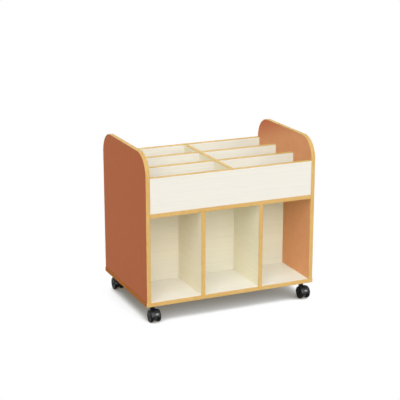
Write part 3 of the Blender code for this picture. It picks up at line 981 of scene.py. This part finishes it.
def makeStemMesh(low, high, s):
    flange = low + s["pinLength"]
    flangeTop = flange + s["flangeHeight"]
    soft = s["chamfer"]
    profile = [(0, low), (s["pinRadius"] - soft, low), (s["pinRadius"], low + soft)]
    profile.append((s["pinRadius"], flange))
    profile += [(s["flangeRadius"] - soft, flange), (s["flangeRadius"], flange + soft)]
    profile += [(s["flangeRadius"], flangeTop - soft), (s["flangeRadius"] - soft, flangeTop)]
    root = s["threadRadius"] - s["threadDepth"]
    profile.append((root, flangeTop))
    turns = int((high - flangeTop - 2 * soft) / s["pitch"])
    for i in range(turns):  # ridges of the thread
        height = flangeTop + soft + i * s["pitch"]
        for radius, share in zip((root, s["threadRadius"], s["threadRadius"]), s["ridgeShares"]):
            profile.append((radius, height + share * s["pitch"]))
    profile += [(root, high - soft), (root - soft, high), (0, high)]
    return closeMesh(turnedMesh("castorStem", profile, s["sides"]))


for castor in corners:
    node = f"castor_{castor}_stem"
    low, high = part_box(node)
    middle = (low + high) / 2
    mesh = makeStemMesh(low.z, high.z, stemSettings)
    mesh.transform(Matrix.Translation((middle.x, middle.y, 0)))
    placePiece(pieceName(node), mesh, zinc, "carcass", "zinc_steel", node)
print("stems made")

# Base screws: each a line of rings, thick at the head and ridged along the thread, with a hexagon socket
screwSettings = {
    "headRadius": 5 * mm,
    "headHeight": 3 * mm,
    "shankRadius": 3.5 * mm,
    "threadDepth": 0.8 * mm,
    "pitch": 3 * mm,
    "ridgeShares": (0.3, 0.6, 0.95),  # both ends of a groove and the crest, as shares of the pitch
    "pointLength": 4 * mm,
    "pointRadius": 0.1 * mm,
    "socketRadius": 2.3 * mm,
    "socketDepth": 2.2 * mm,
    "sides": 24,
}


def makeScrewTree():
    tree = newTree("baseScrew", {
        "Lines": "Geometry",
        "Sides": "Int",
        "Socket radius": "Float",
        "Socket depth": "Float",
        "Finish": "Material",
    }, "Screws")
    given = addNode(tree, "NodeGroupInput").outputs
    upright = addNode(tree, "GeometryNodeSetCurveNormal", {"mode": "Z_UP"}, {"Curve": given["Lines"]})
    ring = addNode(
        tree, "GeometryNodeCurvePrimitiveCircle", {"mode": "RADIUS"},
        {"Resolution": given["Sides"], "Radius": 1.0},
    )
    thickness = addNode(tree, "GeometryNodeInputRadius")
    body = addNode(tree, "GeometryNodeCurveToMesh", inputs={
        "Curve": upright.outputs[0],
        "Profile Curve": ring.outputs[0],
        "Scale": thickness.outputs[0],  # the ring takes each point's radius
        "Fill Caps": True,
    })
    heads = addNode(tree, "GeometryNodeCurveEndpointSelection", inputs={"Start Size": 1, "End Size": 0})
    depth = addNode(  # half of the key stands outside the head
        tree, "ShaderNodeMath", {"operation": "MULTIPLY"}, {0: given["Socket depth"], 1: 2.0}
    )
    key = addNode(tree, "GeometryNodeMeshCylinder", inputs={
        "Vertices": 6, "Radius": given["Socket radius"], "Depth": depth.outputs[0],
    })
    spots = addNode(tree, "GeometryNodeCurveToPoints", {"mode": "EVALUATED"}, {"Curve": given["Lines"]})
    keys = addNode(tree, "GeometryNodeInstanceOnPoints", inputs={
        "Points": spots.outputs[0], "Selection": heads.outputs[0], "Instance": key.outputs[0],
    })
    solidKeys = addNode(tree, "GeometryNodeRealizeInstances", inputs={"Geometry": keys.outputs[0]})
    cut = addNode(tree, "GeometryNodeMeshBoolean", {"operation": "DIFFERENCE", "solver": "EXACT"}, {
        "Mesh 1": body.outputs[0], "Mesh 2": solidKeys.outputs[0],
    })
    whole = addNode(tree, "GeometryNodeRealizeInstances", inputs={"Geometry": cut.outputs[0]})
    finished = addNode(tree, "GeometryNodeSetMaterial", inputs={
        "Geometry": whole.outputs[0], "Material": given["Finish"],
    })
    addNode(tree, "NodeGroupOutput", inputs={"Screws": finished.outputs[0]})
    return tree


def screwRings(low, high, s):  # (radius, height) from the head to the point
    neck = low + s["headHeight"] + s["headRadius"] - s["shankRadius"]
    root = s["shankRadius"] - s["threadDepth"]
    rings = [(s["headRadius"], low), (s["headRadius"], low + s["headHeight"]), (s["shankRadius"], neck)]
    turns = int((high - s["pointLength"] - neck) / s["pitch"])
    for i in range(turns):
        height = neck + i * s["pitch"]
        for radius, share in zip((root, root, s["shankRadius"]), s["ridgeShares"]):
            rings.append((radius, height + share * s["pitch"]))
    rings += [(root, high - s["pointLength"]), (s["pointRadius"], high)]
    return rings


places = ("front", "middle", "rear")
screwNodes = [f"base_screw_{side}_{place}" for side in sides for place in places]
screwLines = []
for node in screwNodes:
    low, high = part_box(node)
    middle = (low + high) / 2
    rings = screwRings(low.z, high.z, screwSettings)
    screwLines.append([((middle.x, middle.y, height), radius) for radius, height in rings])
mesh = treeMesh("baseScrewLines", makeScrewTree(), screwLines, {
    "Sides": screwSettings["sides"],
    "Socket radius": screwSettings["socketRadius"],
    "Socket depth": screwSettings["socketDepth"],
    "Finish": zinc,
})
placePiece("baseScrews", closeMesh(mesh), zinc, "carcass", "zinc_steel", *screwNodes)
print("screws made")

# Floor, light and camera
stageSettings = {
    "floorSize": 60.0,
    "floorLit": "#C9C8C5",  # what lights the object from below
    "shadow": "#413500",  # the darkest tone under the object, a warm black
    "shadowReach": 1.0,  # how far off a thing shades the floor
    "shadowSamples": 16,
    "lean": 55,  # degrees by which the view that lights the floor leans forwards
    "leanTurn": 20,  # and from there to the right
    "leanGain": 0.93,
    "edgeShare": (0.32, 0.66),  # open share of the view upwards where the shadow starts to go and is gone
    "background": "#FFFFFF",
    "skyLevel": 0.4,  # how strongly the background lights the object
    "suns": {  # where each light comes from, how wide it spreads in degrees and what it gives
        "keyLight": {"from": (-0.38, -0.66, 0.64), "strength": 2.15, "spread": 60, "gives": "both"},
        "lowFill": {"from": (0.0, -0.98, 0.21), "strength": 0.50, "spread": 60, "gives": "both"},
        "rightFill": {"from": (0.66, -0.62, 0.43), "strength": 0.50, "spread": 24, "gives": "light"},
        "rightGloss": {"from": (0.45, -0.68, 0.58), "strength": 2.8, "spread": 16, "gives": "gloss"},
        "rearFill": {"from": (0.55, 0.70, 0.45), "strength": 0.53, "spread": 60, "gives": "both"},
        "rearLowFill": {"from": (0.06, 0.97, 0.23), "strength": 1.15, "spread": 66, "gives": "light"},
    },
}


def backgroundRay(tree):  # 1 where the stage is seen, also in a reflection, 0 where it only gives light
    ray = addNode(tree, "ShaderNodeLightPath")
    shown = addNode(tree, "ShaderNodeMath", {"operation": "ADD"}, {
        0: ray.outputs["Is Camera Ray"], 1: ray.outputs["Is Glossy Ray"],
    })
    seen = addNode(tree, "ShaderNodeMath", {"operation": "ADD", "use_clamp": True}, {
        0: shown.outputs[0], 1: ray.outputs["Is Transmission Ray"],
    })
    return seen.outputs[0]


def makeFloor(s):
    shape = bmesh.new()
    bmesh.ops.create_grid(shape, x_segments=1, y_segments=1, size=s["floorSize"] / 2)
    mesh = meshFrom(shape, "studioFloor")
    material = newMaterial("paleStudioFloor")
    tree = material.node_tree
    lit = addNode(tree, "ShaderNodeBsdfDiffuse", inputs={"Color": hexColour(s["floorLit"])})
    lean, turn, gain = math.radians(s["lean"]), math.radians(s["leanTurn"]), s["leanGain"]
    forwards = addNode(tree, "ShaderNodeCombineXYZ", inputs={
        0: math.sin(lean) * math.sin(turn), 1: -math.sin(lean) * math.cos(turn), 2: math.cos(lean),
    })
    frontView = addNode(tree, "ShaderNodeAmbientOcclusion", {"samples": s["shadowSamples"]}, {
        "Distance": s["shadowReach"], "Normal": forwards.outputs[0],
    })
    upView = addNode(tree, "ShaderNodeAmbientOcclusion", {"samples": s["shadowSamples"]}, {
        "Distance": s["shadowReach"],
    })
    belowFloor = (1 - math.cos(lean)) / 2  # share of the leaning view that meets nothing
    fromFront = addNode(tree, "ShaderNodeMath", {"operation": "MULTIPLY_ADD"}, {
        0: frontView.outputs["AO"], 1: gain, 2: -gain * belowFloor,
    })
    start, end = s["edgeShare"]
    fromAbove = addNode(tree, "ShaderNodeMapRange", inputs={0: upView.outputs["AO"], 1: start, 2: end})
    reached = addNode(tree, "ShaderNodeMath", {"operation": "ADD", "use_clamp": True}, {
        0: fromFront.outputs[0], 1: fromAbove.outputs[0],
    })
    shade = addNode(tree, "ShaderNodeMix", {"data_type": "RGBA"}, {
        0: reached.outputs[0], 6: hexColour(s["shadow"]), 7: hexColour(s["background"]),
    })
    white = addNode(tree, "ShaderNodeEmission", inputs={"Color": shade.outputs[2]})
    above = addNode(tree, "ShaderNodeMixShader", inputs={
        0: backgroundRay(tree), 1: lit.outputs[0], 2: white.outputs[0],
    })
    face = addNode(tree, "ShaderNodeNewGeometry")  # clear from below, where the underside shows
    clear = addNode(tree, "ShaderNodeBsdfTransparent")
    shader = addNode(tree, "ShaderNodeMixShader", inputs={
        0: face.outputs["Backfacing"], 1: above.outputs[0], 2: clear.outputs[0],
    })
    addNode(tree, "ShaderNodeOutputMaterial", inputs={"Surface": shader.outputs[0]})
    mesh.materials.append(material)
    floor = bpy.data.objects.new("studioFloor", mesh)
    scene.collection.objects.link(floor)


def makeLight(s):
    world = bpy.data.worlds.new("studioWorld")
    scene.world = world
    world.use_nodes = True
    tree = world.node_tree
    tree.nodes.clear()
    colour = hexColour(s["background"])
    light = addNode(tree, "ShaderNodeBackground", inputs={"Color": colour, "Strength": s["skyLevel"]})
    white = addNode(tree, "ShaderNodeBackground", inputs={"Color": colour, "Strength": 1.0})
    both = addNode(tree, "ShaderNodeMixShader", inputs={
        0: backgroundRay(tree), 1: light.outputs[0], 2: white.outputs[0],
    })
    addNode(tree, "ShaderNodeOutputWorld", inputs={"Surface": both.outputs[0]})
    for name, given in s["suns"].items():
        lamp = bpy.data.lights.new(name, "SUN")
        lamp.energy = given["strength"]
        lamp.angle = math.radians(given["spread"])
        sun = bpy.data.objects.new(name, lamp)
        sun.rotation_euler = Vector(given["from"]).to_track_quat("Z", "Y").to_euler()
        sun.visible_glossy = given["gives"] != "light"
        sun.visible_diffuse = given["gives"] != "gloss"
        scene.collection.objects.link(sun)


cameraSettings = {
    "place": (-2.077, -4.611, 1.868),
    "yaw": 23.83,  # degrees from straight ahead towards the right
    "pitch": 15.88,  # degrees down
    "lens": 107.8,
    "sensor": 36.0,
}


def makeCamera(s):
    lens = bpy.data.cameras.new("photoCamera")
    lens.lens = s["lens"]
    lens.sensor_width = s["sensor"]
    camera = bpy.data.objects.new("photoCamera", lens)
    camera.location = s["place"]
    camera.rotation_euler = (math.radians(90 - s["pitch"]), 0, -math.radians(s["yaw"]))
    scene.collection.objects.link(camera)
    scene.camera = camera


makeFloor(stageSettings)
makeLight(stageSettings)
makeCamera(cameraSettings)
scene.view_settings.view_transform = "Standard"
print("stage made")
